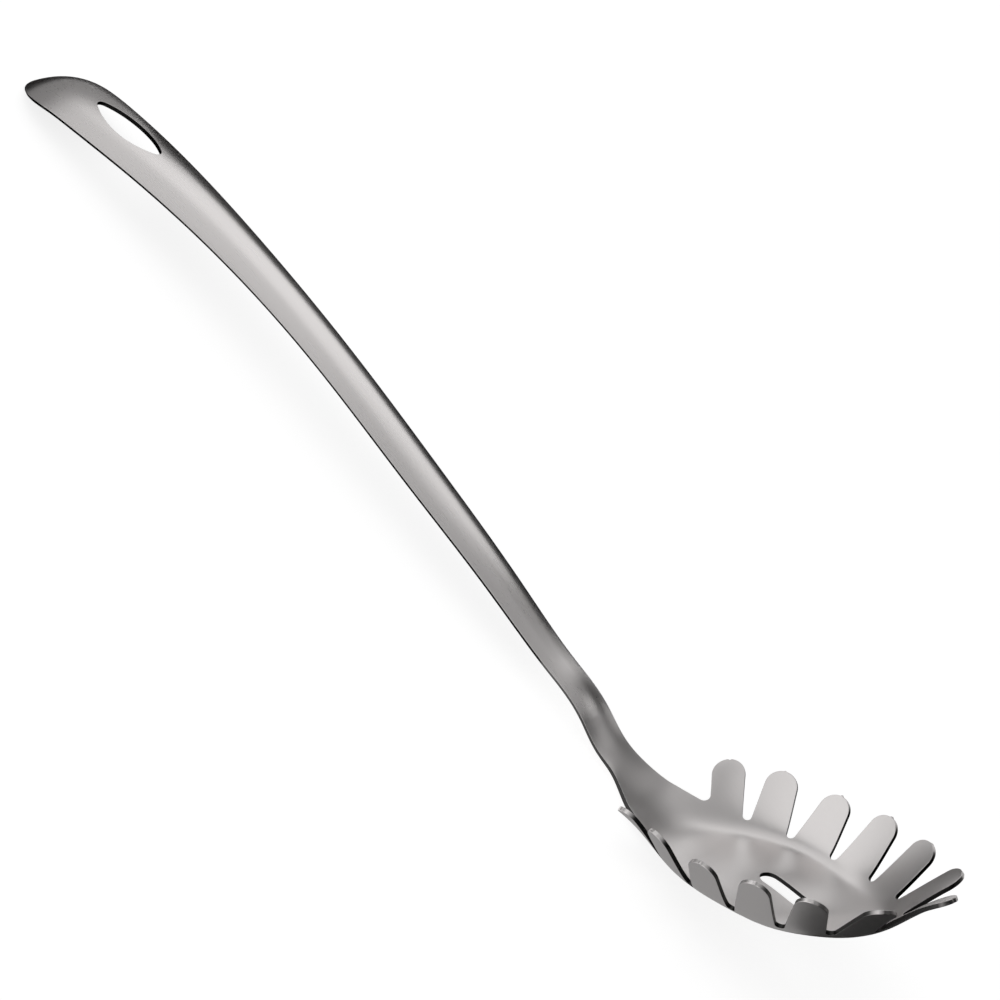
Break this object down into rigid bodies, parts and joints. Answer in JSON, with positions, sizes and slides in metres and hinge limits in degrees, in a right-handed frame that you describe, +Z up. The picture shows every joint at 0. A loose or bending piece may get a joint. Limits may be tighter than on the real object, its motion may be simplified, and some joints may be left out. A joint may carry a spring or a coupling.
{
  "type": "pasta server",
  "caption": "Stainless steel pasta server with a shallow oval bowl cut into round-ended tines, a drain slot in its floor and a long curved channel handle with an almond hanging hole.",
  "frame": {"origin": "under the middle of the server's length and width, on the flat surface that it lies on", "axes": "+Z up; +X along the length from the handle's end to the front of the bowl; +Y across. The server lies with the bowl's hollow upward, resting on the handle's end and on the neck bend"},
  "size_m": [0.3374, 0.0638, 0.0541],
  "materials": {
    "handle_steel": "satin stainless steel, brushed along the handle",
    "bowl_steel": "satin stainless steel",
    "seam_steel": "weld ground flush and brushed over"
  },
  "bodies": {
    "root": {"handle": "handle_steel", "head": "bowl_steel", "neck_weld": "seam_steel"}
  },
  "joints": []
}
